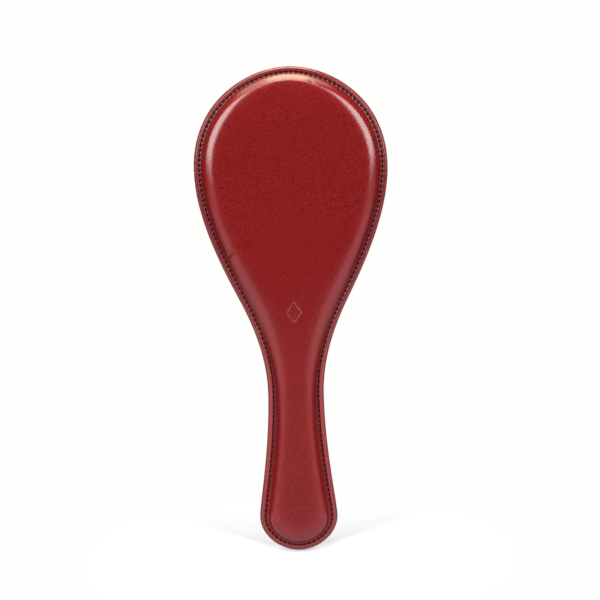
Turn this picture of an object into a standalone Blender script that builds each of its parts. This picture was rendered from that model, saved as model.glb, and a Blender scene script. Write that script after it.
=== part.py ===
"""Padded leather hand paddle: two moulded leather covers sewn together over foam pads and a board.

Metres. +Z runs along the paddle with the blade up, -Y is the front and X is across.
The origin is under the middle of the butt, on the plane between the two covers.
Every piece follows one outline. A section point is (inset from the outline, height from the
middle plane), both in millimetres, and each section is swept round the outline.
"""

import math

import bmesh
import bpy
import numpy as np

MM = 0.001

# The finished edge, right half, from the top of the blade down.
LENGTH = 330.0
BLADE_HALF_WIDTH = 65.8
BLADE_WIDEST_Z = 262.0
TAPER_HALF_WIDTH = 37.3
TAPER_Z = 172.9
TAPER_ANGLE = math.radians(27.1)
NECK_HALF_WIDTH = 19.0
NECK_Z = 107.0
BUTT_HALF_WIDTH = 26.5
BUTT_WIDEST_Z = 23.4

# How far the curve leans on its tangent before and after each of those places.
TOP_REACH = 25.5
BLADE_REACHES = (47.1, 30.4)
TAPER_REACHES = (28.9, 25.8)
NECK_REACHES = (22.1, 39.0)
BUTT_REACHES = (9.4, 12.8)
BOTTOM_REACH = 13.6

HALF_STEPS = 52
BEND_WEIGHT = 26.0

GAP = 0.3
LEATHER = 1.5
BOARD = 3.0
PANEL_HEIGHT = 8.5
PANEL_INSET = 13.0
SEAM_INSET = 3.7
THREAD_RADIUS = 0.42
THREAD_SIDES = 8
BEAD_THICKNESS = 0.45

SEAM_FLOOR = GAP / 2 + 0.75
FLANGE_TOP = GAP / 2 + LEATHER
BOARD_HALF = BOARD / 2
PAD_FLOOR = BOARD_HALF + GAP

COVER_OUTSIDE = [
    (BEAD_THICKNESS + GAP, GAP / 2),
    (BEAD_THICKNESS + GAP, FLANGE_TOP - 0.65),
    (BEAD_THICKNESS + GAP + 0.35, FLANGE_TOP - 0.15),
    (BEAD_THICKNESS + GAP + 0.95, FLANGE_TOP),
    (SEAM_INSET - 0.95, FLANGE_TOP),
    (SEAM_INSET - 0.6, SEAM_FLOOR),
    (SEAM_INSET + 0.6, SEAM_FLOOR),
    (SEAM_INSET + 0.95, FLANGE_TOP),
    (5.2, 2.1),
    (6.0, 3.4),
    (7.0, 4.9),
    (8.2, 6.4),
    (9.7, 7.55),
    (11.3, 8.2),
    (PANEL_INSET, PANEL_HEIGHT),
]
COVER_INSIDE = [
    (PANEL_INSET, PANEL_HEIGHT - LEATHER),
    (11.7, 6.75),
    (10.45, 6.2),
    (9.2, 5.3),
    (8.2, 4.0),
    (5.7, GAP / 2),
]
PAD_SECTION = [
    (7.2, PAD_FLOOR),
    (8.5, 3.8),
    (9.45, 5.05),
    (10.65, 5.9),
    (11.85, 6.42),
    (PANEL_INSET, PANEL_HEIGHT - LEATHER - GAP),
]
BOARD_SECTION = [
    (7.3, -BOARD_HALF),
    (7.0, -BOARD_HALF + 0.3),
    (7.0, BOARD_HALF - 0.3),
    (7.3, BOARD_HALF),
]
BEAD_SECTION = [
    (BEAD_THICKNESS, -1.15),
    (0.28, -1.2),
    (0.08, -0.75),
    (0.0, 0.0),
    (0.08, 0.75),
    (0.28, 1.2),
    (BEAD_THICKNESS, 1.15),
]

# The blind-tooled lozenge on the front of the waist.
MARK_Z = 164.0
MARK_HALF = (4.6, 6.6)
MARK_LINE = 0.7
MARK_DEPTH = 0.35

MATERIALS = {
    "cover_leather": ((0.26, 0.012, 0.018), 0.38),
    "padding_foam": ((0.62, 0.58, 0.50), 0.90),
    "board_fibre": ((0.30, 0.20, 0.11), 0.75),
    "seam_thread": ((0.010, 0.009, 0.009), 0.60),
    "edge_coat": ((0.055, 0.006, 0.008), 0.32),
}


def clear_scene():
    for obj in list(bpy.data.objects):
        bpy.data.objects.remove(obj, do_unlink=True)


def bezier(start, start_out, end_in, end, steps=400):
    t = np.linspace(0.0, 1.0, steps)[:, None]
    first = (1 - t) ** 3 * start + 3 * (1 - t) ** 2 * t * start_out
    return first + 3 * (1 - t) * t**2 * end_in + t**3 * end


def right_half():
    """Closely spaced points down the right side, from the top to the bottom."""
    down = (0.0, -1.0)
    inward = (-math.sin(TAPER_ANGLE), -math.cos(TAPER_ANGLE))
    knots = [
        ((0.0, LENGTH), (1.0, 0.0), (0.0, TOP_REACH)),
        ((BLADE_HALF_WIDTH, BLADE_WIDEST_Z), down, BLADE_REACHES),
        ((TAPER_HALF_WIDTH, TAPER_Z), inward, TAPER_REACHES),
        ((NECK_HALF_WIDTH, NECK_Z), down, NECK_REACHES),
        ((BUTT_HALF_WIDTH, BUTT_WIDEST_Z), down, BUTT_REACHES),
        ((0.0, 0.0), (-1.0, 0.0), (BOTTOM_REACH, 0.0)),
    ]
    runs = []
    for here, there in zip(knots, knots[1:]):
        start = np.array(here[0])
        end = np.array(there[0])
        leaving = start + np.array(here[1]) * here[2][1]
        arriving = end - np.array(there[1]) * there[2][0]
        runs.append(bezier(start, leaving, arriving, end)[:-1])
    runs.append(np.array([[0.0, 0.0]]))
    return np.vstack(runs)


def outline():
    """Points round the edge and their inward normals, closer together where it bends."""
    fine = right_half()
    step = np.diff(fine, axis=0)
    length = np.hypot(step[:, 0], step[:, 1])
    angle = np.unwrap(np.arctan2(step[:, 1], step[:, 0]))
    turn = np.abs(np.diff(angle, append=angle[-1]))
    travel = np.concatenate([[0.0], np.cumsum(length + BEND_WEIGHT * turn)])
    wanted = np.linspace(0.0, travel[-1], HALF_STEPS + 1)
    right = np.column_stack([np.interp(wanted, travel, fine[:, k]) for k in range(2)])
    heading = np.interp(wanted, travel, np.append(angle, -math.pi))
    heading[0] = 0.0
    inward = np.column_stack([np.sin(heading), -np.cos(heading)])
    flip = np.array([-1.0, 1.0])
    points = np.vstack([right, right[-2:0:-1] * flip])
    normals = np.vstack([inward, inward[-2:0:-1] * flip])
    return points, normals


EDGE, INWARD = outline()


def ring(inset, height, side):
    """One loop of a section point round the outline. side is -1 for the front and 1 for the back."""
    flat = EDGE + INWARD * inset
    return [(x * MM, side * height * MM, z * MM) for x, z in flat]


def material(name):
    colour, roughness = MATERIALS[name]
    made = bpy.data.materials.new(name)
    made.use_nodes = True
    shader = made.node_tree.nodes["Principled BSDF"]
    shader.inputs["Base Color"].default_value = (*colour, 1.0)
    shader.inputs["Roughness"].default_value = roughness
    made.diffuse_color = (*colour, 1.0)
    return made


def add_object(name, bm, slot, flat_caps=False):
    bmesh.ops.recalc_face_normals(bm, faces=bm.faces)
    mesh = bpy.data.meshes.new(name)
    for face in bm.faces:
        face.smooth = not (flat_caps and len(face.verts) > 4)
    bm.to_mesh(mesh)
    bm.free()
    mesh.materials.append(slot)
    obj = bpy.data.objects.new(name, mesh)
    bpy.context.scene.collection.objects.link(obj)
    return obj


def bridge(bm, first, second):
    count = len(first)
    for i in range(count):
        j = (i + 1) % count
        bm.faces.new((first[i], first[j], second[j], second[i]))


def sweep(name, section, side, slot, capped):
    """Sweeps a section round the outline. A capped one is closed by flat panels, else it joins up."""
    bm = bmesh.new()
    loops = [[bm.verts.new(p) for p in ring(d, h, side)] for d, h in section]
    for first, second in zip(loops, loops[1:]):
        bridge(bm, first, second)
    if capped:
        bm.faces.new(loops[0])
        bm.faces.new(loops[-1])
    else:
        bridge(bm, loops[-1], loops[0])
    return add_object(name, bm, slot, flat_caps=capped)


def cover(name, side, slot):
    """A leather skin: the outside from the rim to the panel, then the inside back to the rim."""
    bm = bmesh.new()
    section = COVER_OUTSIDE + COVER_INSIDE
    loops = [[bm.verts.new(p) for p in ring(d, h, side)] for d, h in section]
    panel = len(COVER_OUTSIDE) - 1
    for k, (first, second) in enumerate(zip(loops, loops[1:])):
        if k != panel:
            bridge(bm, first, second)
    bridge(bm, loops[-1], loops[0])
    bm.faces.new(loops[panel])
    bm.faces.new(loops[panel + 1])
    return add_object(name, bm, slot, flat_caps=True)


def thread(name, side, slot):
    """The run of stitches as one cord that lies in the seam groove."""
    middle = SEAM_FLOOR + GAP + THREAD_RADIUS
    section = []
    for k in range(THREAD_SIDES):
        turn = 2 * math.pi * (k + 0.5) / THREAD_SIDES
        inset = SEAM_INSET + THREAD_RADIUS * math.cos(turn)
        section.append((inset, middle + THREAD_RADIUS * math.sin(turn)))
    return sweep(name, section, side, slot, capped=False)


def lozenge(grow):
    """The four corners of the mark, each side moved out by grow."""
    across, along = MARK_HALF
    reach = 1 + grow * math.hypot(across, along) / (across * along)
    corners = [(across, 0.0), (0.0, along), (-across, 0.0), (0.0, -along)]
    return [(x * reach * MM, (MARK_Z + z * reach) * MM) for x, z in corners]


def mark_cutter(slot):
    """A lozenge-shaped frame that cuts the tooled line into the front panel."""
    bm = bmesh.new()
    deep = -(PANEL_HEIGHT - MARK_DEPTH) * MM
    clear = -(PANEL_HEIGHT + 1.0) * MM
    loops = []
    for grow, y in ((0.0, deep), (0.0, clear), (MARK_LINE, clear), (MARK_LINE, deep)):
        loops.append([bm.verts.new((x, y, z)) for x, z in lozenge(grow)])
    for first, second in zip(loops, loops[1:] + loops[:1]):
        bridge(bm, first, second)
    cutter = add_object("mark_cutter", bm, slot)
    cutter.hide_render = True
    cutter.display_type = "WIRE"
    return cutter


def cut_mark(target, slot):
    modifier = target.modifiers.new("tooled_mark", "BOOLEAN")
    modifier.operation = "DIFFERENCE"
    modifier.solver = "EXACT"
    modifier.object = mark_cutter(slot)


def build():
    clear_scene()
    slots = {name: material(name) for name in MATERIALS}
    front = cover("front_cover", -1, slots["cover_leather"])
    cover("back_cover", 1, slots["cover_leather"])
    sweep("front_padding", PAD_SECTION, -1, slots["padding_foam"], capped=True)
    sweep("back_padding", PAD_SECTION, 1, slots["padding_foam"], capped=True)
    sweep("core_board", BOARD_SECTION, 1, slots["board_fibre"], capped=True)
    thread("needle_thread", -1, slots["seam_thread"])
    thread("bobbin_thread", 1, slots["seam_thread"])
    sweep("edge_paint", BEAD_SECTION, 1, slots["edge_coat"], capped=False)
    cut_mark(front, slots["cover_leather"])


build()
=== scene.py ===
"""Looks of the padded leather hand paddle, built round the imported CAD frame.

The CAD rim gives the outline. Each visible surface is swept from it as rings, and a section point is
(inset from the rim, height from the middle plane). Lengths in the mesh code are millimetres and
become metres when a mesh is made. side is -1 for the front, which faces -Y, and 1 for the back.
"""

import math

import bmesh
import bpy
import numpy as np
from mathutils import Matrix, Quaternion, Vector, noise
from mathutils.geometry import delaunay_2d_cdt


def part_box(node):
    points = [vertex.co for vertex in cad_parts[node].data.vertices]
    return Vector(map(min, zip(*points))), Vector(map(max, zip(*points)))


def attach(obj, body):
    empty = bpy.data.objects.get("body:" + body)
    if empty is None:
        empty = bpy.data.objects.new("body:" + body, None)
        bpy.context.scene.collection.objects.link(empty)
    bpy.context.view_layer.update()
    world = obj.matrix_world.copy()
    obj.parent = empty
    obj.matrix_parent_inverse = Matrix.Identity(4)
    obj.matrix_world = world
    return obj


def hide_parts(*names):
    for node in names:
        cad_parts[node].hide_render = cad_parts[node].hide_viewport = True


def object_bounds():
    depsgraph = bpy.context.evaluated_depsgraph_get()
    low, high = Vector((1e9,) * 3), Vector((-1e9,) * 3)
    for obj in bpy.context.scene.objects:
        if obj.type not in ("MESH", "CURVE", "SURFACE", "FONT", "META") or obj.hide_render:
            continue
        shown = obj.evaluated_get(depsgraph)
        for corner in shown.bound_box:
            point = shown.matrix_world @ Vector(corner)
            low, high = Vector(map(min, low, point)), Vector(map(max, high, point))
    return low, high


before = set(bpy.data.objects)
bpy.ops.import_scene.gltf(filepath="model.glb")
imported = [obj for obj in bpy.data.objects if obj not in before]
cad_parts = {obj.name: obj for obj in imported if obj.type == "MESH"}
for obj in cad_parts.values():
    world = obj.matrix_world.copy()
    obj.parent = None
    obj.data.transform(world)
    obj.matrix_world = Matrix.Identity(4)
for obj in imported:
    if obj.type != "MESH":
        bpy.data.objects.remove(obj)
cad_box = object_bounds()

MM = 0.001
FRONT, BACK = -1, 1

# Sizes the CAD pieces hold, in mm.
PANEL_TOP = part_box("back_cover")[1].y / MM
LENGTH = cad_box[1].z / MM
THREAD_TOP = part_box("bobbin_thread")[1].y / MM
THREAD_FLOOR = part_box("bobbin_thread")[0].y / MM
THREAD_RADIUS = (THREAD_TOP - THREAD_FLOOR) / 2
SEAM = (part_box("edge_paint")[1].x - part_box("bobbin_thread")[1].x) / MM + THREAD_RADIUS

STITCH_PITCH = 3.4
STEPS_PER_STITCH = 8
LEATHER = 1.5
LEATHER_EDGE = 0.34
FLANGE_TOP = 1.62
PANEL_RIM = 14.5

# Slope of the leather's shoulder in degrees at each inset from the rim. FIRM is the handle, BLADE the sides
# of the blade, SOFT the taper between them and the butt, and TOP the top of the blade.
FIRM_SHOULDER = [
    (4.7, 0.0),
    (5.0, 42.0),
    (5.4, 63.0),
    (6.9, 62.0),
    (7.4, 50.0),
    (7.8, 38.0),
    (8.7, 29.0),
    (9.8, 20.0),
    (11.1, 11.0),
    (13.2, 4.5),
    (17.0, 1.5),
    (20.0, 0.0),
]
BLADE_SHOULDER = [
    (4.7, 0.0),
    (5.0, 42.0),
    (5.4, 62.0),
    (6.9, 61.0),
    (7.5, 50.0),
    (8.1, 37.0),
    (8.8, 31.0),
    (10.4, 24.0),
    (12.3, 16.0),
    (14.0, 7.5),
    (15.8, 3.2),
    (17.8, 1.3),
    (20.0, 0.0),
]
SOFT_SHOULDER = [
    (4.6, 0.0),
    (5.0, 34.0),
    (5.5, 47.0),
    (6.8, 45.0),
    (8.3, 39.0),
    (10.0, 31.0),
    (11.5, 23.0),
    (13.0, 16.0),
    (15.0, 9.0),
    (17.5, 4.0),
    (20.0, 0.0),
]
TOP_SHOULDER = [
    (4.6, 0.0),
    (4.9, 40.0),
    (5.2, 47.0),
    (7.9, 47.0),
    (8.5, 39.0),
    (9.2, 29.0),
    (9.9, 19.0),
    (10.8, 11.0),
    (12.5, 5.5),
    (16.0, 2.0),
    (20.0, 0.0),
]
SLOPE_STEP = 0.02

# Where along the paddle each shoulder takes over, and how gradually. Below HANDLE_FROM the firm shoulder
# also starts HANDLE_SHIFT further in.
TAPER_MIDDLE = 165.0
TAPER_REACH = 46.0
TOP_REACH = 17.0
TOP_LOWERED = 0.9
BUTT_REACH = 17.0
BLADE_FROM = 205.0
HANDLE_FROM = 125.0
HANDLE_SHIFT = 0.9
BLEND_LENGTH = 40.0

# Slope of the rolled edge outside the crease, in degrees at each inset.
ROLLED_EDGE = [(0.34, 58.0), (0.6, 45.0), (1.0, 38.0), (1.4, 34.0), (1.7, 27.0), (1.9, 14.0), (2.05, 0.0)]

# The tooled crease, the valley under the stitches, the puckers beside it and the slant of each stitch.
CREASE_INSET = 2.05
CREASE_DEPTH = 0.08
CREASE_WIDTH = 0.3
VALLEY_DEPTH = 0.42
VALLEY_WIDTH = 0.46
PUCKER_HEIGHT = 0.11
PUCKER_OFFSET = 0.95
STITCH_SLANT = 0.2

# The swell of the padding: how far the cloth may lift the leather, and how widely its points are averaged.
CROWN_CAP = 0.75
CROWN_REACH = 6.5
CLOTH_FRAMES = 20

# Short wrinkles, each between two (x, z) places, and the lozenge tooled on the waist.
WRINKLE = ((-46.0, 199.3), (-39.2, 206.4))
WRINKLE_LIP = ((-45.4, 202.6), (-39.0, 209.2))
TOP_WRINKLE = ((13.5, 320.5), (17.0, 316.8))
MARK_Z = 164.0
MARK_HALF = (4.95, 7.1)
MARK_STEP = 0.26

# The white behind the object. The far part of the floor shows the same white.
BACKDROP = (0.993, 1.0, 0.985)


# ---------------------------------------------------------------- outline


def cad_rim():
    """The right half of the CAD rim, top to bottom, from the edge coat's ring on the middle plane."""
    points = np.array([v.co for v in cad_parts["edge_paint"].data.vertices]) / MM
    middle = points[(np.abs(points[:, 1]) < 0.001) & (points[:, 0] > -0.001)]
    right = np.unique(np.round(middle[:, [0, 2]], 3), axis=0)
    right = right[np.argsort(-right[:, 1])]
    return right


def closed_spline(knots, count):
    """A periodic cubic spline through the knots, as count + 1 points evenly spread over its parameter."""
    following = np.roll(knots, -1, axis=0)
    gap = np.hypot(*(following - knots).T)
    before = np.roll(gap, 1)
    size = len(knots)
    system = np.zeros((size, size))
    row = np.arange(size)
    system[row, (row - 1) % size] = before
    system[row, row] = 2 * (before + gap)
    system[row, (row + 1) % size] = gap
    slope = (following - knots) / gap[:, None]
    bend = np.linalg.solve(system, 6 * (slope - np.roll(slope, 1, axis=0)))
    start = np.concatenate([[0.0], np.cumsum(gap)])
    at = np.linspace(0.0, start[-1], count + 1)
    k = np.clip(np.searchsorted(start, at, side="right") - 1, 0, size - 1)
    left = ((at - start[k]) / gap[k])[:, None]
    right = 1 - left
    span = gap[k][:, None] ** 2 / 6
    after = (k + 1) % size
    straight = right * knots[k] + left * knots[after]
    return straight + span * ((right**3 - right) * bend[k] + (left**3 - left) * bend[after])


def outline():
    """(rim points, inward normals, number of stitches). Points are evenly spread along the seam."""
    right = cad_rim()
    mirrored = right[1:-1][::-1] * np.array([-1.0, 1.0])
    fine = closed_spline(np.vstack([right, mirrored]), 24000)[:-1]
    tangent = np.roll(fine, -1, axis=0) - np.roll(fine, 1, axis=0)
    tangent /= np.hypot(*tangent.T)[:, None]
    inward = np.column_stack([tangent[:, 1], -tangent[:, 0]])
    seam = fine + inward * SEAM
    step = np.hypot(*(np.roll(seam, -1, axis=0) - seam).T)
    travel = np.concatenate([[0.0], np.cumsum(step)])
    stitches = round(travel[-1] / STITCH_PITCH)
    wanted = np.arange(stitches * STEPS_PER_STITCH) / (stitches * STEPS_PER_STITCH) * travel[-1]

    def spread(values):
        looped = np.vstack([values, values[:1]])
        return np.column_stack([np.interp(wanted, travel, looped[:, i]) for i in range(2)])

    normals = spread(inward)
    return spread(fine), normals / np.hypot(*normals.T)[:, None], stitches


RIM, INWARD, STITCHES = outline()
PHASE = np.arange(len(RIM)) / STEPS_PER_STITCH


def inset_of(points):
    """Distance of each (x, z) point from the rim, from the nearest rim segment."""
    ahead = np.roll(RIM, -1, axis=0) - RIM
    length = (ahead**2).sum(1)
    result = []
    for chunk in np.array_split(points, max(1, len(points) // 400)):
        to_point = chunk[:, None, :] - RIM[None]
        along = np.clip((to_point * ahead).sum(2) / length, 0, 1)
        away = to_point - along[..., None] * ahead
        result.append(np.sqrt((away**2).sum(2).min(1)))
    return np.concatenate(result)


def wave(position, size, seed):
    """Smooth noise from about -1 to 1 at a point in mm, with bumps of the given size."""
    return noise.noise(Vector((position[0] / size, position[1] / size, seed)))


def rim_wave(size, seed):
    """wave along the whole rim."""
    return np.array([wave(p, size, seed) for p in RIM])


# ---------------------------------------------------------------- leather relief


def rise_along(stations):
    """(insets, heights gained) along a list of (inset, slope in degrees)."""
    inset = np.arange(stations[0][0], stations[-1][0] + SLOPE_STEP / 2, SLOPE_STEP)
    at, degrees = np.array(stations).T
    slope = np.tan(np.radians(np.interp(inset, at, degrees)))
    return inset, np.concatenate([[0.0], np.cumsum(slope[:-1] * SLOPE_STEP)])


def shoulder_curve(stations, lower=0.0):
    """A shoulder that reaches the panel's height, or that much lower, at the panel's rim."""
    inset, rise = rise_along(stations)
    return inset, rise * (PANEL_TOP - lower - FLANGE_TOP) / np.interp(PANEL_RIM, inset, rise)


FIRM_CURVE = shoulder_curve(FIRM_SHOULDER)
BLADE_CURVE = shoulder_curve(BLADE_SHOULDER)
SOFT_CURVE = shoulder_curve(SOFT_SHOULDER)
TOP_CURVE = shoulder_curve(TOP_SHOULDER, TOP_LOWERED)
EDGE_CURVE = rise_along(ROLLED_EDGE)


def shoulder_height(inset, z):
    """Height of the leather at an inset, blended from the four shoulder curves by the place along z."""
    butt = bell(z, BUTT_REACH)
    soft = bell(z - TAPER_MIDDLE, TAPER_REACH) + butt
    top = bell(z - LENGTH, TOP_REACH)
    later = HANDLE_SHIFT * np.clip((HANDLE_FROM - z) / BLEND_LENGTH, 0, 1) * (1 - butt)
    blade = np.clip((z - BLADE_FROM) / BLEND_LENGTH, 0, 1)
    firm = (1 - blade) * np.interp(inset - later, *FIRM_CURVE) + blade * np.interp(inset, *BLADE_CURVE)
    height = (1 - soft - top) * firm
    height = height + soft * np.interp(inset, *SOFT_CURVE) + top * np.interp(inset, *TOP_CURVE)
    return FLANGE_TOP + height


def bell(x, width):
    """1 at x = 0, falling smoothly to near 0 about two widths away."""
    return np.exp(-((x / width) ** 2))


def rim_relief(inset, side):
    """Height of the leather round the rim at one inset: rolled edge, crease, seam valley and puckers."""
    height = shoulder_height(inset, RIM[:, 1])
    height -= EDGE_CURVE[1][-1] - np.interp(inset, *EDGE_CURVE)
    height += 0.07 * bell(inset - (CREASE_INSET + SEAM) / 2, 0.5)
    height -= CREASE_DEPTH * bell(inset - CREASE_INSET, CREASE_WIDTH) * (1 + 0.3 * rim_wave(9, 3.1))
    height -= VALLEY_DEPTH * bell(inset - SEAM, VALLEY_WIDTH) * (1 - 0.85 * bell(from_hole(), 0.45))
    for edge, strength in ((-1, 0.35), (1, 1.0)):
        ridge = bell(inset - SEAM - edge * PUCKER_OFFSET, 0.34)
        bulge = 1.5 * bell(from_hole(), 0.75) - 0.5
        pull = 1 + 0.7 * rim_wave(4.3, 7.7 * edge + side)
        height += strength * PUCKER_HEIGHT * ridge * bulge * pull
    return height


def from_hole():
    """Distance along the seam to the nearest needle hole, round the whole rim."""
    return np.abs((PHASE + 0.5) % 1 - 0.5) * STITCH_PITCH


def rim_shade_and_burnish(inset):
    """Painted shade and burnish darkening the leather at one inset: painted shade in the seam valley under
    the stitches and at the shoulder's foot, and painted shade with real tooling and burnishing in the crease
    (more so on the blade) and at the cut edge."""
    # Painted shade in the seam valley under the stitches, less at the needle holes.
    under_stitch = 1 - 0.8 * bell(from_hole(), 0.6)
    dark = 0.6 * bell(inset - SEAM, 0.62) * under_stitch
    # Painted shade in the crease, more on the blade, over the crease's real tooling.
    tooled = 0.22 + 0.73 * np.clip((RIM[:, 1] - 110) / 60, 0, 1)
    dark = np.maximum(dark, tooled * bell(inset - CREASE_INSET, 0.36))
    # Painted shade at the shoulder's foot, fading out towards the butt.
    dark = np.maximum(dark, 0.3 * bell(inset - 5.2, 0.6) * (1 - bell(RIM[:, 1], 24)))
    # Painted shade with real burnishing at the cut edge.
    return np.maximum(dark, 0.35 * bell(inset - LEATHER_EDGE, 0.4))


def crease_along(points, start, end, depth, width):
    """Depth of a short wrinkle pressed between two (x, z) places, fading at both ends."""
    start, end = np.array(start), np.array(end)
    span = end - start
    along = ((points - start) @ span) / (span @ span)
    away = np.hypot(*(points - start - np.clip(along, 0, 1)[:, None] * span).T)
    fade = np.clip(np.sin(np.pi * np.clip(along, 0.02, 0.98)), 0, 1) ** 0.7
    return depth * fade * bell(away, width)


def mark_relief(points):
    """The blind-tooled lozenge: two pressed lines, and a small raised one in the middle."""
    across, along = MARK_HALF
    scale = across * along / math.hypot(across, along)
    reach = np.abs(points[:, 0]) / across + np.abs(points[:, 1] - MARK_Z) / along
    outer = bell((reach - 1) * scale, 0.52)
    inner = bell((reach - 0.66) * scale, 0.3)
    centre = bell((reach - 0.3) * scale, 0.35)
    return -0.25 * outer - 0.09 * inner + 0.09 * centre


def panel_relief(points, side, crown):
    """Height that the padded panel adds at (x, z) points: its crown, slow unevenness and small wrinkles."""
    height = crown(points)
    uneven = [0.10 * wave(p, 34, side * 5.3) + 0.03 * wave(p, 11, side * 2.9 + 20) for p in points]
    height += np.array(uneven)
    if side == FRONT:
        height -= crease_along(points, *WRINKLE, 1.2, 0.9)
        height += crease_along(points, *WRINKLE_LIP, 0.26, 1.2)
        height -= crease_along(points, *TOP_WRINKLE, 0.16, 1.1)
        height += mark_relief(points)
    return height


# ---------------------------------------------------------------- meshes


def new_piece(name, points, faces, material):
    """A smooth mesh piece from points in mm, with its faces turned outwards."""
    mesh = bpy.data.meshes.new(name)
    mesh.from_pydata((np.asarray(points, float) * MM).tolist(), [], faces)
    turned = bmesh.new()
    turned.from_mesh(mesh)
    bmesh.ops.recalc_face_normals(turned, faces=turned.faces)
    turned.to_mesh(mesh)
    turned.free()
    mesh.materials.append(material)
    mesh.shade_smooth()
    piece = bpy.data.objects.new(name, mesh)
    bpy.context.scene.collection.objects.link(piece)
    return piece


def painted_bounce_at(z, inset):
    """Painted bounce light from the floor on the leather's shoulder, paling it: most on the taper and butt,
    least on top.
    """
    butt = bell(z, 24)
    bounce_share = 0.55 + 0.45 * bell(z - TAPER_MIDDLE, 1.3 * TAPER_REACH) - 0.5 * bell(z - LENGTH, TOP_REACH)
    bounce_share += 0.8 * butt
    return bounce_share * bell(inset - 9.8, 3.4 + 2.2 * butt)


def painted_flange_sheen_at(z, inset):
    """Painted sheen on the flange outside the seam, paling it: more so round the waist, and less right at the
    cut edge.
    """
    paler = 0.38 + 0.4 * bell(z - 115, 85)
    band = np.clip((3.6 - inset) / 1.1, 0, 1) * (1 - 0.4 * bell(inset - LEATHER_EDGE, 0.5))
    return paler * band


class Skin:
    """Collects the points and faces of one piece, with each point's painted shade and burnish, painted bounce
    light on the shoulder and painted sheen on the flange.
    """

    def __init__(self, side):
        self.side = side
        self.points = []
        self.shade_and_burnish = []
        self.stretch = []
        self.flange = []
        self.faces = []

    def add(self, flat, height, shade_and_burnish=0.0, inset=PANEL_RIM):
        """Adds (x, z) points at a height and returns their numbers."""
        first = len(self.points)
        height = np.broadcast_to(height, len(flat))
        self.points += [(x, self.side * h, z) for (x, z), h in zip(flat, height)]
        # Painted shade and burnish.
        self.shade_and_burnish += np.broadcast_to(shade_and_burnish, len(flat)).tolist()
        z = np.array([z for _, z in flat])
        # Painted bounce light on the shoulder.
        self.stretch += painted_bounce_at(z, inset).tolist()
        # Painted sheen on the flange.
        self.flange += painted_flange_sheen_at(z, inset).tolist()
        return np.arange(first, len(self.points))

    def ring(self, inset, height, every=1):
        """Adds one loop round the rim, or every so many of its points."""
        return self.add(RIM[::every] + INWARD[::every] * inset, height, rim_shade_and_burnish(inset)[::every], inset)

    def bridge(self, many, few):
        """Joins two rings. The first may have a whole number of times more points."""
        ratio = len(many) // len(few)
        for i, corner in enumerate(few):
            after = few[(i + 1) % len(few)]
            run = [many[(i * ratio + k) % len(many)] for k in range(ratio + 1)]
            if ratio == 1:
                self.faces.append((run[0], run[1], after, corner))
                continue
            half = ratio // 2
            for k in range(half):
                self.faces.append((run[k], run[k + 1], corner))
            self.faces.append((run[half], after, corner))
            for k in range(half, ratio):
                self.faces.append((run[k], run[k + 1], after))

    def panel(self, ring, inner, height, inset=PANEL_RIM):
        """Fills a ring with triangles through the inner (x, z) points."""
        rim = np.array([(self.points[i][0], self.points[i][2]) for i in ring])
        flat = np.vstack([rim, inner])
        edges = [(i, (i + 1) % len(ring)) for i in range(len(ring))]
        made = delaunay_2d_cdt([Vector(p) for p in flat.tolist()], edges, [], 1, 1e-6)
        if len(made[0]) != len(flat):
            raise ValueError("a panel point fell on another")
        number = np.concatenate([ring, self.add(inner, height, inset=inset)])
        origin = [sources[0] for sources in made[3]]
        self.faces += [tuple(int(number[origin[i]]) for i in face) for face in made[2]]


def hexagonal_points(spacing, clearance):
    """(x, z) points on a triangular grid inside the rim, at least clearance from it."""
    low, high = RIM.min(0), RIM.max(0)
    rows = np.arange(low[1], high[1], spacing * math.sqrt(3) / 2)
    points = []
    for k, z in enumerate(rows):
        shift = spacing / 2 * (k % 2)
        columns = np.arange(0, high[0], spacing)
        if shift:
            across = np.concatenate([-columns - shift, columns + shift])
        else:
            across = np.concatenate([-columns[1:], columns])
        points += [(x, z) for x in across]
    points = np.array(points)
    points = points[np.abs(points[:, 0]) <= np.interp(-points[:, 1], *half_width())]
    return points[inset_of(points) > clearance]


def half_width():
    """Half width of the rim against -z, for np.interp."""
    right = RIM[RIM[:, 0] >= 0]
    right = right[np.argsort(-right[:, 1])]
    return -right[:, 1], right[:, 0]


def mark_reach(points, wider, taller):
    """Below 1 inside the tooled lozenge grown by wider and taller, and above 1 outside it."""
    across = np.abs(points[:, 0]) / (MARK_HALF[0] + wider)
    along = np.abs(points[:, 1] - MARK_Z) / (MARK_HALF[1] + taller)
    return across + along


def panel_points(spacing, clearance, fine_mark):
    """Points for the raised panel, much closer together round the mark if fine_mark is set."""
    points = hexagonal_points(spacing, clearance)
    if not fine_mark:
        return points
    points = points[mark_reach(points, 2.2, 2.6) > 1]
    across = np.arange(-26, 27) * MARK_STEP
    rows = np.arange(-42, 43)
    fine = [(x + MARK_STEP / 2 * (k % 2), MARK_Z + k * MARK_STEP * 0.866) for k in rows for x in across]
    fine = np.array(fine)
    return np.vstack([points, fine[mark_reach(fine, 1.4, 1.8) < 1]])


# ---------------------------------------------------------------- crown of the padding


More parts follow.
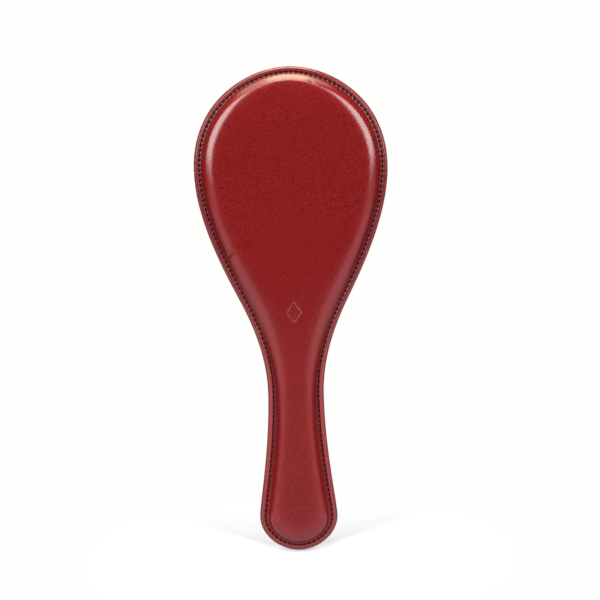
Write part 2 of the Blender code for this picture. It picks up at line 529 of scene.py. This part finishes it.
def simulated_crown():
    """How far the leather swells over the foam: a sheet pinned round its edge and blown up as cloth."""
    skin = Skin(FRONT)
    pinned = skin.ring(9.0, 0.0, every=8)
    skin.panel(pinned, hexagonal_points(4.0, 10.8), 0.0)
    flat = np.array(skin.points)[:, [0, 2]]
    sheet = new_piece("crown_sheet", skin.points, skin.faces, None)
    group = sheet.vertex_groups.new(name="pinned")
    group.add(pinned.tolist(), 1.0, "ADD")
    cloth = sheet.modifiers.new("swell", "CLOTH")
    cloth.settings.vertex_group_mass = "pinned"
    cloth.settings.use_pressure = True
    cloth.settings.uniform_pressure_force = 0.6
    cloth.settings.effector_weights.gravity = 0.0
    cloth.settings.quality = 6
    cloth.settings.tension_stiffness = 40
    cloth.settings.compression_stiffness = 40
    scene = bpy.context.scene
    cloth.point_cache.frame_start, cloth.point_cache.frame_end = 1, CLOTH_FRAMES
    for step in range(1, CLOTH_FRAMES + 1):
        scene.frame_set(step)
    settled = sheet.evaluated_get(bpy.context.evaluated_depsgraph_get()).data
    swell = np.abs(np.array([v.co.y for v in settled.vertices])) / MM
    scene.frame_set(1)
    bpy.data.objects.remove(sheet)
    return flat, swell


def make_crown():
    """A function that gives the padding's swell at (x, z) points, smoothed and never over CROWN_CAP."""
    flat, swell = simulated_crown()
    capped = CROWN_CAP * (1 - np.exp(-swell / CROWN_CAP))

    def crown(points):
        result = []
        for chunk in np.array_split(points, max(1, len(points) // 500)):
            weight = bell(np.sqrt(((chunk[:, None] - flat[None]) ** 2).sum(2)), CROWN_REACH)
            result.append((weight @ capped) / (weight.sum(1) + 0.05))
        return np.concatenate(result)

    return crown


# ---------------------------------------------------------------- pieces


# Insets of the rings of a cover: its cut edge as (inset, height), the flange and seam, the shoulder, and
# the hidden inside as (inset, height), where a height below 0 is measured down from the panel.
EDGE_STATIONS = [(0.62, 0.02), (0.44, 0.05), (LEATHER_EDGE, 0.12)]
ROLLED_STATIONS = LEATHER_EDGE + np.array([0.0, 0.1, 0.24, 0.42, 0.65, 0.9])
CREASE_STATIONS = [1.45, 1.62, 1.78, 1.9, 2.0, 2.1, 2.2, 2.3, 2.42, 2.56, 2.68]
SEAM_OFFSETS = [-0.93, -0.8, -0.62, -0.45, -0.3, -0.15, 0.0, 0.15, 0.3, 0.45, 0.62, 0.8, 0.95, 1.1]
RIM_STATIONS = np.concatenate([ROLLED_STATIONS, CREASE_STATIONS, SEAM + np.array(SEAM_OFFSETS)])
SHOULDER_STATIONS = [4.95, 5.12, 5.3, 5.55, 5.85, 6.2, 6.55, 6.9, 7.2, 7.5, 7.8, 8.2, 8.6, 9.0, 9.45, 9.9]
SHOULDER_STATIONS += [10.4, 11.0, 11.6, 12.3, 13.0, 13.7, PANEL_RIM]
INSIDE_STATIONS = [(PANEL_RIM, -LEATHER), (11.7, 6.6), (10.45, 6.0), (9.2, 5.1), (8.2, 3.8), (5.8, 0.02)]


def make_cover(name, side, crown, material):
    """A leather cover: rings from its cut edge over the flange, seam and shoulder, then the raised panel."""
    skin = Skin(side)
    loops = [skin.ring(d, h) for d, h in EDGE_STATIONS]
    loops += [skin.ring(d, rim_relief(d, side)) for d in RIM_STATIONS]
    for first, second in zip(loops, loops[1:]):
        skin.bridge(first, second)
    last = loops[-1]
    for inset in SHOULDER_STATIONS:
        flat = RIM[::2] + INWARD[::2] * inset
        share = min(1.0, max(0.0, (inset - 5.5) / 3.0))
        height = shoulder_height(inset, RIM[::2, 1]) + share * panel_relief(flat, side, crown)
        dark = rim_shade_and_burnish(inset)[::2]
        # Painted shade along the front's wrinkle.
        if side == FRONT:
            dark = np.maximum(dark, crease_along(flat, *WRINKLE, 0.55, 0.6))
        ring = skin.add(flat, height, dark, inset)
        skin.bridge(last, ring)
        last = ring
    inner = panel_points(1.9, PANEL_RIM + 1.0, side == FRONT)
    inset = inset_of(inner)
    height = shoulder_height(inset, inner[:, 1]) + panel_relief(inner, side, crown)
    height += rim_offset(inner, flat) * bell(inset - PANEL_RIM, 13.0)
    skin.panel(last, inner, height, inset)
    close_inside(skin, loops[0])
    cover = new_piece(name, skin.points, skin.faces, material)
    # Painted shade and burnish, painted bounce light and painted flange sheen, kept on the mesh for the
    # leather's colour.
    for layer_name in ("shade_and_burnish", "stretch", "flange"):
        layer = cover.data.attributes.new(layer_name, "FLOAT", "POINT")
        layer.data.foreach_set("value", np.array(getattr(skin, layer_name), np.float32))
    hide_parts(name)
    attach(cover, "root")


def rim_offset(points, ring):
    """Height from a panel point's own shoulder to that of the ring beside it, so that the two meet evenly."""
    offset = shoulder_height(PANEL_RIM, RIM[::2, 1]) - shoulder_height(PANEL_RIM, ring[:, 1])
    result = []
    for chunk in np.array_split(points, max(1, len(points) // 500)):
        away = ((chunk[:, None] - ring[None]) ** 2).sum(2)
        weight = np.exp(-(away - away.min(1)[:, None]) / 16)
        result.append((weight @ offset) / weight.sum(1))
    return np.concatenate(result)


def close_inside(skin, outer):
    """The hidden inside of a cover, coarser than its outside, from the cut edge to the panel."""
    last = outer
    for inset, height in reversed(INSIDE_STATIONS):
        if height < 0:
            height += PANEL_TOP
        ring = skin.ring(inset, height, every=8)
        skin.bridge(last, ring)
        last = ring
    inner = hexagonal_points(6.0, PANEL_RIM + 3.0)
    skin.panel(last, inner, PANEL_TOP - LEATHER)


def make_edge_coat(material):
    """The burnished coat over the two cut edges: a thin lipped band with a faint line at the join."""
    section = [
        (0.66, 0.74),
        (0.56, 0.86),
        (0.38, 0.72),
        (0.22, 0.54),
        (0.1, 0.36),
        (0.03, 0.2),
        (0.01, 0.1),
        (0.04, 0.0),
    ]
    lower = [(d, -h) for d, h in reversed(section[:-1])]
    hidden = [(0.6, -0.3), (0.6, 0.0), (0.6, 0.3)]
    ripple = 0.03 * rim_wave(6, 4.4)
    lip = 1 + 0.06 * rim_wave(8, 9.2)
    skin = Skin(BACK)
    loops = []
    for inset, height in section + lower + hidden:
        moved = np.clip(inset + ripple * (inset < 0.4), 0, None)
        flat = RIM[::2] + INWARD[::2] * moved[::2, None]
        loops.append(skin.add(flat, (height * lip)[::2]))
    for first, second in zip(loops, loops[1:] + loops[:1]):
        skin.bridge(first, second)
    coat = new_piece("edge_paint", skin.points, skin.faces, material)
    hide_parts("edge_paint")
    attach(coat, "root")


def seam_place(stitch):
    """(x, z) of the seam and its inward normal at a place counted in stitches."""
    at = np.asarray(stitch) % STITCHES * STEPS_PER_STITCH
    steps = np.arange(len(RIM) + 1)

    def read(values):
        looped = np.vstack([values, values[:1]])
        return np.column_stack([np.interp(at, steps, looped[:, i]) for i in range(2)])

    normal = read(INWARD)
    normal /= np.hypot(*normal.T)[:, None]
    return read(RIM) + normal * SEAM, normal


def make_thread(name, side, material):
    """One twisted thread that comes up through each hole, runs a stitch and goes down the next hole."""
    per_stitch, sides, plies, twist_pitch = 20, 12, 3, 4.2
    thickness = 1.1 * THREAD_RADIUS
    top = THREAD_TOP - THREAD_RADIUS + 0.12
    low = 0.4
    turn = np.linspace(0, math.pi, per_stitch, endpoint=False) + math.pi / per_stitch / 2
    phase = np.tile(0.5 - 0.5 * np.cos(turn), STITCHES)
    stitch = np.repeat(np.arange(STITCHES), per_stitch) + phase
    slack = np.array([0.06 * wave((k, 0), 1.7, side * 3.3) for k in range(STITCHES)])
    lift = 1 - np.abs(2 * phase - 1) ** 3
    height = low + (top + np.repeat(slack, per_stitch) - low) * lift
    seam, normal = seam_place(stitch)
    centre = seam + normal * (side * STITCH_SLANT * (1 - 2 * phase))[:, None]
    path = np.column_stack([centre[:, 0], side * height, centre[:, 1]])
    forward = np.roll(path, -1, axis=0) - np.roll(path, 1, axis=0)
    forward /= np.linalg.norm(forward, axis=1)[:, None]
    across = np.column_stack([normal[:, 0], np.zeros(len(normal)), normal[:, 1]])
    across -= forward * (across * forward).sum(1)[:, None]
    across /= np.linalg.norm(across, axis=1)[:, None]
    up = np.cross(forward, across)
    twist = 2 * math.pi * stitch * STITCH_PITCH / twist_pitch
    tight = 0.55 + 0.45 * np.clip(lift * 1.3, 0, 1)
    points, faces = [], []
    for k in range(sides):
        angle = 2 * math.pi * k / sides
        lobes = 1 + 0.12 * np.cos(plies * (angle - twist))
        radius = (thickness * tight * lobes)[:, None]
        points.append(path + radius * (math.cos(angle) * across + math.sin(angle) * up))
    points = np.stack(points, axis=1).reshape(-1, 3)
    count = len(path)
    for i in range(count):
        j = (i + 1) % count
        for k in range(sides):
            m = (k + 1) % sides
            faces.append((i * sides + k, i * sides + m, j * sides + m, j * sides + k))
    thread = new_piece(name, points, faces, material)
    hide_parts(name)
    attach(thread, "root")


# (inset, height) of the rings round a pad, from its floor up to its shoulder.
PAD_STATIONS = [(7.6, 1.52), (7.3, 1.8), (7.7, 2.6), (8.5, 3.8), (9.45, 4.95), (10.65, 5.8), (11.85, 6.3)]


def make_padding(name, side, crown, material):
    """A foam pad with soft edges that fills the cover, flat against the board."""
    skin = Skin(side)
    top = PANEL_TOP - LEATHER - 0.2
    stations = PAD_STATIONS + [(PANEL_RIM, top)]
    loops = [skin.ring(d, h, every=4) for d, h in stations]
    for first, second in zip(loops, loops[1:]):
        skin.bridge(first, second)
    inner = hexagonal_points(4.0, PANEL_RIM + 2.0)
    skin.panel(loops[-1], inner, top + 0.15 * crown(inner))
    floor = hexagonal_points(9.0, 12.0)
    skin.panel(loops[0], floor, PAD_STATIONS[0][1])
    pad = new_piece(name, skin.points, skin.faces, material)
    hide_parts(name)
    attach(pad, "root")


# ---------------------------------------------------------------- materials


class Nodes:
    """Short calls for building one node material."""

    def __init__(self, name):
        self.material = bpy.data.materials.new(name)
        self.material.use_nodes = True
        self.tree = self.material.node_tree
        self.shader = self.tree.nodes["Principled BSDF"]
        self.place = self.node("ShaderNodeTexCoord").outputs["Object"]

    def node(self, kind, **settings):
        made = self.tree.nodes.new(kind)
        for key, value in settings.items():
            setattr(made, key, value)
        return made

    def link(self, source, target):
        self.tree.links.new(source, target)

    def set(self, **inputs):
        for key, value in inputs.items():
            socket = self.shader.inputs[key.replace("_", " ")]
            if isinstance(value, bpy.types.NodeSocket):
                self.link(value, socket)
            else:
                socket.default_value = value

    def noise(self, size, detail=4.0, rough=0.5, stretch=None):
        """Noise with features of about the given size in mm."""
        made = self.node("ShaderNodeTexNoise")
        made.inputs["Scale"].default_value = 1 / (size * MM)
        made.inputs["Detail"].default_value = detail
        made.inputs["Roughness"].default_value = rough
        place = self.place
        if stretch:
            mapping = self.node("ShaderNodeMapping")
            mapping.inputs["Scale"].default_value = stretch
            self.link(self.place, mapping.inputs["Vector"])
            place = mapping.outputs["Vector"]
        self.link(place, made.inputs["Vector"])
        return made.outputs["Fac"]

    def cells(self, size, smooth=0.0):
        """Distance to the middle of the nearest cell, for cells of about the given size in mm."""
        made = self.node("ShaderNodeTexVoronoi")
        made.inputs["Scale"].default_value = 1 / (size * MM)
        if smooth:
            made.feature = "SMOOTH_F1"
            made.inputs["Smoothness"].default_value = smooth
        self.link(self.place, made.inputs["Vector"])
        return made.outputs["Distance"]

    def remap(self, value, low, high, to_low=0.0, to_high=1.0):
        """A smooth step from to_low, for a value up to low, to to_high, for a value from high."""
        made = self.node("ShaderNodeMapRange", interpolation_type="SMOOTHSTEP")
        for key, number in zip(("From Min", "From Max", "To Min", "To Max"), (low, high, to_low, to_high)):
            made.inputs[key].default_value = number
        self.link(value, made.inputs["Value"])
        return made.outputs["Result"]

    def math(self, operation, first, second):
        made = self.node("ShaderNodeMath", operation=operation)
        for socket, value in zip(made.inputs, (first, second)):
            if isinstance(value, bpy.types.NodeSocket):
                self.link(value, socket)
            else:
                socket.default_value = value
        return made.outputs[0]

    def times(self, first, second):
        return self.math("MULTIPLY", first, second)

    def plus(self, first, second):
        return self.math("ADD", first, second)

    def minus(self, first, second):
        return self.math("SUBTRACT", first, second)

    def mix(self, share, first, second):
        """first where share is 0 and second where it is 1. A colour is (red, green, blue)."""
        made = self.node("ShaderNodeMix", data_type="RGBA")
        for socket, value in zip((made.inputs[0], made.inputs[6], made.inputs[7]), (share, first, second)):
            if isinstance(value, bpy.types.NodeSocket):
                self.link(value, socket)
            elif isinstance(value, tuple):
                socket.default_value = (*value, 1.0)
            else:
                socket.default_value = value
        return made.outputs[2]

    def length(self, vector):
        made = self.node("ShaderNodeVectorMath", operation="LENGTH")
        self.link(vector, made.inputs[0])
        return made.outputs["Value"]

    def attribute(self, name):
        return self.node("ShaderNodeAttribute", attribute_name=name).outputs["Fac"]

    def bump(self, height, distance, after=None):
        """A normal for a height of 0 to 1 that stands for the given distance in mm."""
        made = self.node("ShaderNodeBump")
        made.inputs["Distance"].default_value = distance * MM
        made.inputs["Strength"].default_value = 1.0
        self.link(height, made.inputs["Height"])
        if after is not None:
            self.link(after, made.inputs["Normal"])
        return made.outputs["Normal"]


# Colours as linear (red, green, blue).
BLACK = (0.0, 0.0, 0.0)
LEATHER_DEEP = (0.0712, 0.0017, 0.0019)
LEATHER_RED = (0.0812, 0.0020, 0.0022)
LEATHER_BLOTCH = (0.0483, 0.0010, 0.0011)
LEATHER_SPECK = (0.1370, 0.0077, 0.0081)
# Painted bounce light on the shoulder, and its lighter speck.
LEATHER_PAINTED_BOUNCE = (0.1220, 0.0058, 0.0064)
LEATHER_PAINTED_BOUNCE_SPECK = (0.2400, 0.0150, 0.0160)
# Painted sheen on the flange.
LEATHER_PAINTED_FLANGE_SHEEN = (0.205, 0.033, 0.035)
# Painted shade, with real burnish, for the seam valley, crease, shoulder's foot, wrinkle and cut edge.
LEATHER_SHADE_AND_BURNISH = (0.0320, 0.0011, 0.0014)


def leather_colour(n, flange, shade_and_burnish):
    """Red with a fine lighter speck, paler with painted bounce light on the shoulder and painted sheen on the
    flange, darker with painted shade and burnish.
    """
    # The painted bounce light on the shoulder.
    stretch = n.attribute("stretch")
    cloud = n.remap(n.noise(26, 3), 0.3, 0.7)
    blotch = n.remap(n.noise(1.5, 4, 0.7), 0.36, 0.64)
    speck = n.remap(n.noise(0.65, 3, 0.7), 0.40, 0.60)
    colour = n.mix(cloud, LEATHER_DEEP, LEATHER_RED)
    colour = n.mix(n.times(blotch, 0.17), colour, LEATHER_BLOTCH)
    colour = n.mix(n.times(speck, 0.82), colour, LEATHER_SPECK)
    # Painted bounce light on the shoulder, with its own lighter speck.
    colour = n.mix(stretch, colour, LEATHER_PAINTED_BOUNCE)
    colour = n.mix(n.times(n.times(speck, stretch), 0.42), colour, LEATHER_PAINTED_BOUNCE_SPECK)
    # Painted sheen on the flange.
    colour = n.mix(flange, colour, LEATHER_PAINTED_FLANGE_SHEEN)
    # Painted shade and burnish darken the colour.
    return n.mix(shade_and_burnish, colour, LEATHER_SHADE_AND_BURNISH)


def leather_material():
    """Smooth leather with pores and fine creases, a little duller on the flange and where shade is painted
    and the leather burnished.
    """
    n = Nodes("red_leather")
    # The painted flange sheen, which also makes the flange a little rougher.
    flange = n.attribute("flange")
    # Where shade is painted and the leather burnished.
    shade_and_burnish = n.attribute("shade_and_burnish")
    pores = n.remap(n.cells(0.42, smooth=0.4), 0.0, 0.5)
    grain = n.noise(0.5, 5, 0.6)
    creases = n.noise(1.4, 4, 0.6)
    relief = n.plus(n.times(pores, 0.55), n.times(grain, 0.45))
    normal = n.bump(relief, 0.026)
    normal = n.bump(creases, 0.05, after=normal)
    uneven = n.remap(n.noise(2.4, 4, 0.6), 0.3, 0.7, 0.165, 0.21)
    rough = n.plus(n.plus(uneven, n.times(pores, 0.02)), n.times(flange, 0.05))
    n.set(Base_Color=leather_colour(n, flange, shade_and_burnish), Roughness=rough, Normal=normal)
    # Less shine where shade is painted and the leather burnished.
    n.set(Specular_IOR_Level=n.minus(0.5, n.times(shade_and_burnish, 0.45)))
    return n.material


def edge_coat_material():
    """A dark red coat with faint streaks and a thin gloss."""
    n = Nodes("burnished_edge_coat")
    streak = n.remap(n.noise(1.1, 4, 0.6), 0.3, 0.7)
    colour = n.mix(streak, (0.070, 0.009, 0.010), (0.110, 0.014, 0.014))
    n.set(Base_Color=colour, Roughness=n.remap(n.noise(0.8, 3), 0.3, 0.7, 0.26, 0.42))
    n.set(Normal=n.bump(n.noise(0.35, 4, 0.6), 0.03), Coat_Weight=0.2, Coat_Roughness=0.25)
    return n.material


def thread_material():
    """Near-black waxed thread with fine fibres, which hardly shines."""
    n = Nodes("waxed_black_thread")
    fibre = n.noise(0.16, 4, 0.7)
    colour = n.mix(n.remap(fibre, 0.35, 0.65), (0.004, 0.0014, 0.0014), (0.012, 0.0045, 0.0045))
    n.set(Base_Color=colour, Roughness=n.remap(fibre, 0.3, 0.7, 0.5, 0.7))
    n.set(Normal=n.bump(fibre, 0.04), Specular_IOR_Level=0.07)
    return n.material


def foam_material():
    """Cream foam with small open cells."""
    n = Nodes("cream_foam")
    cells = n.remap(n.cells(0.7), 0.0, 0.6)
    colour = n.mix(cells, (0.48, 0.43, 0.34), (0.66, 0.62, 0.53))
    n.set(Base_Color=colour, Roughness=n.remap(cells, 0, 1, 0.82, 0.95), Normal=n.bump(cells, 0.12))
    return n.material


def board_material():
    """Brown fibreboard with long fibres and a few dark flecks."""
    n = Nodes("pressed_fibreboard")
    fibres = n.noise(1.2, 6, 0.7, stretch=(1.0, 3.0, 0.22))
    flecks = n.remap(n.noise(0.6, 3), 0.55, 0.7)
    colour = n.mix(n.remap(fibres, 0.3, 0.7), (0.20, 0.125, 0.065), (0.36, 0.25, 0.145))
    colour = n.mix(n.times(flecks, 0.5), colour, (0.10, 0.06, 0.03))
    n.set(Base_Color=colour, Roughness=n.remap(fibres, 0.3, 0.7, 0.68, 0.86), Normal=n.bump(fibres, 0.08))
    return n.material


# ---------------------------------------------------------------- stage


# From here on lengths are metres. The floor lies just under the object.
FLOOR_CORNERS = [(-2.4, -2.6), (2.4, -2.6), (2.4, 1.4), (-2.4, 1.4)]
FLOOR_Z = -0.0004
FLOOR_COLOUR = (0.488, 0.513, 0.600)
FLOOR_GLOW = (0.94, 0.96, 1.0)


def floor_nearness(n):
    """1 near the object, falling to 0 where the floor has become the backdrop, sooner to the sides."""
    narrow = n.node("ShaderNodeMapping")
    narrow.inputs["Scale"].default_value = (1.8, 1.0, 1.0)
    n.link(n.place, narrow.inputs["Vector"])
    return n.remap(n.length(narrow.outputs["Vector"]), 0.11, 0.27, 1.0, 0.0)


def floor_painted_shadow(n, aside, along):
    """A painted shadow in the floor's colour: full in front of the object, and darker behind a line that
    bends back to both sides of the butt.
    """
    beside_butt = n.math("MAXIMUM", n.minus(aside, 0.02), 0.0)
    depth = n.minus(along, n.times(beside_butt, 1.7))
    return n.remap(depth, -0.006, 0.034, 1.0, 0.625)


def floor_glow(n, aside, along):
    """How strongly the floor shows in reflections: dimmer straight in front, behind and far away."""
    beside = n.plus(aside, n.times(along, 0.7))
    behind = n.plus(n.times(aside, 0.4), along)
    glow = n.times(n.remap(beside, -0.23, 0.15, 0.27, 1.1), n.remap(behind, 0.05, 0.38, 1.0, 0.12))
    return n.times(glow, n.remap(n.length(n.place), 0.8, 1.9, 1.0, 0.0))


def floor_material():
    """The camera sees a pale lit floor, with a painted shadow behind the butt, that turns into the backdrop.
    Reflections see only its glow.
    """
    n = Nodes("pale_floor")
    axes = n.node("ShaderNodeSeparateXYZ")
    n.link(n.place, axes.inputs[0])
    aside = n.math("ABSOLUTE", axes.outputs["X"], 0.0)
    along = axes.outputs["Y"]
    seen = n.node("ShaderNodeLightPath").outputs["Is Camera Ray"]
    unseen = n.minus(1.0, seen)
    near = floor_nearness(n)
    # The floor's colour for the camera, with the painted shadow.
    lit = n.mix(n.times(floor_painted_shadow(n, aside, along), near), BLACK, FLOOR_COLOUR)
    n.set(Base_Color=n.mix(seen, BLACK, lit), Roughness=0.9, Specular_IOR_Level=0.0)
    backdrop = n.times(n.minus(1.0, near), seen)
    n.set(Emission_Color=n.mix(seen, FLOOR_GLOW, BACKDROP))
    n.set(Emission_Strength=n.plus(n.times(floor_glow(n, aside, along), unseen), backdrop))
    return n.material


def make_floor():
    """A wide sheet for the object to stand on."""
    mesh = bpy.data.meshes.new("floor")
    mesh.from_pydata([(x, y, FLOOR_Z) for x, y in FLOOR_CORNERS], [], [(0, 1, 2, 3)])
    mesh.materials.append(floor_material())
    floor = bpy.data.objects.new("floor", mesh)
    bpy.context.scene.collection.objects.link(floor)


# Light colours, and the height of the overhead strips.
WHITE = (1.0, 1.0, 1.0)
WARM = (1.0, 0.90, 0.68)
STRIP_Z = 1.1


def make_world():
    """White behind the object for the camera, and dim for light and reflections."""
    world = bpy.data.worlds.new("studio")
    bpy.context.scene.world = world
    world.use_nodes = True
    tree = world.node_tree
    background = tree.nodes["Background"]
    path = tree.nodes.new("ShaderNodeLightPath")
    strength = tree.nodes.new("ShaderNodeMapRange")
    strength.inputs["To Min"].default_value = 0.03
    strength.inputs["To Max"].default_value = 1.0
    tree.links.new(path.outputs["Is Camera Ray"], strength.inputs["Value"])
    tree.links.new(strength.outputs["Result"], background.inputs["Strength"])
    background.inputs["Color"].default_value = (*BACKDROP, 1.0)


def softbox(name, place, target, size, power, colour=WHITE, lean=0.0):
    """A rectangular light that the camera can't see, turned by lean degrees about its own beam."""
    light = bpy.data.lights.new(name, "AREA")
    light.shape = "RECTANGLE"
    light.size, light.size_y = size
    light.energy = power
    light.color = colour
    lamp = bpy.data.objects.new(name, light)
    lamp.location = place
    aim = Vector(target) - Vector(place)
    lamp.rotation_mode = "QUATERNION"
    lamp.rotation_quaternion = aim.to_track_quat("-Z", "Y") @ Quaternion((0, 0, 1), math.radians(lean))
    lamp.visible_camera = False
    bpy.context.scene.collection.objects.link(lamp)
    return lamp


def overhead_strip(name, x, y, width, length, power):
    """A warm light that looks straight down."""
    softbox(f"overhead_{name}", (x, y, STRIP_Z), (x, y, 0.0), (width, length), power, WARM)


def make_lights():
    """Two tall leaning softboxes in front, three warm strips overhead, a low fill that makes no reflections,
    and one high and two low lights behind for the back."""
    for side, lean in ((-1, -15), (1, 21)):
        place = (side * 0.84, -0.87, 0.90)
        softbox(f"front_{side}", place, (0.0, 0.0, 0.87), (0.68, 1.20), 27.7, lean=lean)
    overhead_strip("main", 0.0, 0.05, 0.48, 1.56, 25.5)
    overhead_strip("left", -0.41, 0.13, 0.34, 1.40, 4.9)
    overhead_strip("right", 0.34, 0.42, 0.20, 0.70, 1.3)
    fill = softbox("low_fill", (0.0, -0.4, 0.03), (0.0, 0.0, 0.03), (0.4, 0.1), 1.25)
    fill.visible_glossy = False
    softbox("behind", (0.0, 1.2, 1.4), (0.0, 0.0, 0.2), (0.8, 0.6), 5.0)
    for side in (-1, 1):
        softbox(f"back_{side}", (side * 0.8, 0.95, 0.42), (0.0, 0.0, 0.36), (0.6, 0.6), 11.0)


def make_camera():
    """A long lens a little above the object, and rolled a little."""
    data = bpy.data.cameras.new("camera")
    camera = bpy.data.objects.new("camera", data)
    bpy.context.scene.collection.objects.link(camera)
    bpy.context.scene.camera = camera
    distance, elevation, roll = 1.6, math.radians(4.0), math.radians(1.35)
    filled_height = 0.80667
    middle = Vector((0.0, 0.0, LENGTH * MM / 2))
    back = Vector((0.0, -math.cos(elevation), math.sin(elevation)))
    frame_height = LENGTH * MM * math.cos(elevation) / filled_height
    data.sensor_width = 36.0
    data.lens = data.sensor_width * distance / frame_height
    data.shift_x = 0.01
    data.shift_y = 0.01567
    camera.location = middle + back * distance
    camera.rotation_mode = "QUATERNION"
    upright = (-back).to_track_quat("-Z", "Y")
    camera.rotation_quaternion = Quaternion(-back, roll) @ upright
    data.clip_start, data.clip_end = 0.05, 50.0


leather = leather_material()
crown = make_crown()
for cover_name, cover_side in (("front_cover", FRONT), ("back_cover", BACK)):
    make_cover(cover_name, cover_side, crown, leather)
make_edge_coat(edge_coat_material())
thread = thread_material()
make_thread("needle_thread", FRONT, thread)
make_thread("bobbin_thread", BACK, thread)
foam = foam_material()
make_padding("front_padding", FRONT, crown, foam)
make_padding("back_padding", BACK, crown, foam)
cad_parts["core_board"].data.materials.clear()
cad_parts["core_board"].data.materials.append(board_material())
make_floor()
make_world()
make_lights()
make_camera()
bpy.context.scene.view_settings.view_transform = "Standard"
